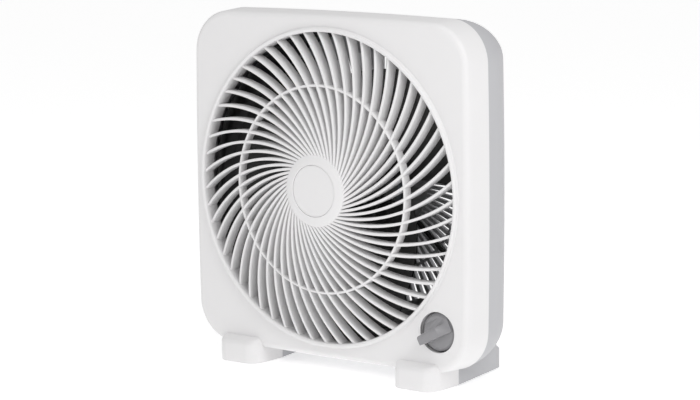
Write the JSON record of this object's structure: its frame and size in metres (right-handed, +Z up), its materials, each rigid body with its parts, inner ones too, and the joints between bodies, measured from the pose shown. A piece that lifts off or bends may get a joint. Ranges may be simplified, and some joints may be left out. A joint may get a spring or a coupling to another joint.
{
  "type": "box fan",
  "caption": "Square box fan on two feet, with a domed swirl grille, a corner speed knob and a two-tone plastic body.",
  "frame": {"origin": "centre of the footprint, on the floor", "axes": "+Z up, +X to the right as seen from the front, +Y from the front grille to the back guard"},
  "size_m": [0.355, 0.1474, 0.373],
  "materials": {
    "white_plastic": "satin white ABS with a fine moulded texture",
    "pale_gray_plastic": "satin pale gray ABS with a fine moulded texture",
    "gray_plastic": "mid gray moulded plastic",
    "knob_plastic": "smooth gray knob plastic",
    "black_plastic": "black moulded polypropylene",
    "black_rubber": "matt black rubber",
    "gray_rubber": "matt gray rubber",
    "zinc_steel": "bright zinc plated steel",
    "bell_zinc": "pressed and plated motor cover",
    "lamination_steel": "stacked electrical steel, oiled",
    "enamelled_copper": "varnished copper winding",
    "sintered_bronze": "oil filled sintered bronze",
    "brass_tag": "stamped brass",
    "cream_plastic": "cream switch and film capacitor plastic"
  },
  "bodies": {
    "housing": {"front_shell": "white_plastic", "front_grille": "white_plastic", "hub_badge": "pale_gray_plastic", "rear_shell": "pale_gray_plastic", "rear_guard": "gray_plastic", "air_duct": "black_plastic", "front_foot_pads": "gray_rubber", "rear_foot_pads": "gray_rubber", "cord_grommet": "black_rubber", "cord_clamp": "gray_plastic", "cord_clamp_screws": "zinc_steel", "shell_screws": "zinc_steel", "grille_screws": "zinc_steel", "duct_screws": "zinc_steel", "guard_screws": "zinc_steel", "motor_dampers": "black_rubber", "motor_screws": "zinc_steel", "rear_end_bell": "bell_zinc", "front_end_bell": "bell_zinc", "stator_core": "lamination_steel", "stator_coils": "enamelled_copper", "front_bearing": "sintered_bronze", "rear_bearing": "sintered_bronze", "bearing_retainers": "zinc_steel", "motor_bolts": "zinc_steel", "motor_nuts": "zinc_steel", "switch_body": "cream_plastic", "switch_bush": "brass_tag", "switch_nut": "zinc_steel", "switch_tags": "brass_tag", "capacitor": "cream_plastic", "motor_lead": "black_rubber", "switch_lead": "black_rubber"},
    "rotor": {"fan_blade": "black_plastic", "blade_nut": "gray_plastic", "motor_shaft": "zinc_steel", "rotor_core": "lamination_steel", "drive_pin": "zinc_steel", "thrust_washers": "cream_plastic"},
    "knob_body": {"knob": "knob_plastic", "knob_clip": "zinc_steel", "switch_spindle": "cream_plastic"}
  },
  "joints": [
    {"name": "blade_spin", "type": "hinge", "parent": "housing", "child": "rotor", "pos_m": [0, -0.01035, 0.1945], "axis": [0, 1, 0], "continuous": true},
    {"name": "knob_turn", "type": "hinge", "parent": "housing", "child": "knob_body", "pos_m": [0.1382, -0.04435, 0.0615], "axis": [0, 1, 0], "range_deg": [0, 135]}
  ]
}
